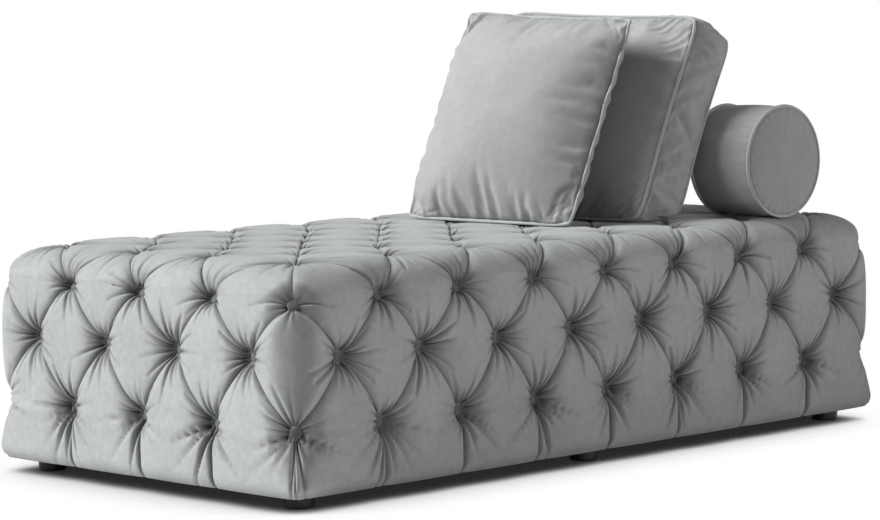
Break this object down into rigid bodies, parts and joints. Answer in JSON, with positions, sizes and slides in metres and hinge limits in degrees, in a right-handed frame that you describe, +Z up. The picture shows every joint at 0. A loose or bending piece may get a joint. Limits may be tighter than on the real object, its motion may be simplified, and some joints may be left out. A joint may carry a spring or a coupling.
{
  "type": "chaise longue",
  "caption": "Long deep-buttoned rectangular daybed base in grey velvet on low round feet, with a scatter pillow, a boxed back cushion and a short bolster that lift off.",
  "frame": {"origin": "centre of the base on the floor, under the middle of the tufted base", "axes": "+X along the couch to its head end, where the cushions are; +Y across to the far side; +Z up"},
  "size_m": [1.716, 0.924, 0.9001],
  "materials": {
    "velvet": "grey velvet, short pile with a soft sheen",
    "velvet_button": "grey velvet stretched over a button shell",
    "velvet_piping": "grey velvet bias piping",
    "twine": "waxed upholstery twine",
    "zinc": "zinc plated",
    "zip_metal": "nickel plated",
    "foam": "cream upholstery foam",
    "plywood": "birch plywood, sanded",
    "timber": "planed pine",
    "dust_cloth": "black spunbond cloth",
    "foot_black": "black moulded plastic, satin",
    "wadding": "white fibre filling in a cotton case",
    "zip_tape": "woven grey zip tape with coil teeth"
  },
  "bodies": {
    "base": {"tufted_cover": "velvet", "top_buttons": "velvet_button", "near_buttons": "velvet_button", "head_buttons": "velvet_button", "far_buttons": "velvet_button", "foot_buttons": "velvet_button", "top_twines": "twine", "side_twines": "twine", "top_washers": "zinc", "side_washers": "zinc", "seat_foam": "foam", "side_foam_near": "foam", "side_foam_far": "foam", "end_foam_foot": "foam", "end_foam_head": "foam", "seat_deck": "plywood", "side_panel_near": "plywood", "side_panel_far": "plywood", "end_panel_foot": "plywood", "end_panel_head": "plywood", "corner_post_foot_near": "timber", "corner_post_foot_far": "timber", "corner_post_head_near": "timber", "corner_post_head_far": "timber", "centre_post_near": "timber", "centre_post_far": "timber", "centre_stretcher": "timber", "side_ledgers": "timber", "end_ledgers": "timber", "cross_rail_foot": "timber", "cross_rail_middle": "timber", "cross_rail_head": "timber", "frame_screws": "zinc", "dust_cover": "dust_cloth", "foot_foot_near": "foot_black", "foot_foot_far": "foot_black", "foot_middle_near": "foot_black", "foot_middle_far": "foot_black", "foot_head_near": "foot_black", "foot_head_far": "foot_black", "foot_bolts": "zinc", "foot_t_nuts": "zinc"},
    "scatter_pillow": {"pillow_cover": "velvet", "pillow_insert": "wadding", "pillow_piping": "velvet_piping", "pillow_zip": "zip_tape"},
    "back_cushion": {"back_cover": "velvet", "back_insert": "wadding", "back_front_piping": "velvet_piping", "back_rear_piping": "velvet_piping", "back_zip": "zip_tape"},
    "bolster": {"bolster_tube": "velvet", "bolster_end_near": "velvet", "bolster_end_far": "velvet", "bolster_core": "wadding", "bolster_piping": "velvet_piping", "bolster_zip": "zip_tape"},
    "pillow_slider": {"pillow_zip_slider": "zip_metal"},
    "back_slider": {"back_zip_slider": "zip_metal"},
    "bolster_slider": {"bolster_zip_slider": "zip_metal"}
  },
  "joints": [
    {"name": "pillow_lift", "type": "slide", "parent": "base", "child": "scatter_pillow", "axis": [0, 0, 1], "range_m": [0, 0.5]},
    {"name": "cushion_lift", "type": "slide", "parent": "base", "child": "back_cushion", "axis": [0.4226, 0, 0.9063], "range_m": [0, 0.55]},
    {"name": "bolster_lift", "type": "slide", "parent": "base", "child": "bolster", "axis": [0.5, 0, 0.866], "range_m": [0, 0.35]},
    {"name": "pillow_zip_slide", "type": "slide", "parent": "scatter_pillow", "child": "pillow_slider", "axis": [0, 1, 0], "range_m": [0, 0.2772]},
    {"name": "cushion_zip_slide", "type": "slide", "parent": "back_cushion", "child": "back_slider", "axis": [0, 1, 0], "range_m": [0, 0.3192]},
    {"name": "bolster_zip_slide", "type": "slide", "parent": "bolster", "child": "bolster_slider", "axis": [0, -1, 0], "range_m": [0, 0.0828]}
  ]
}
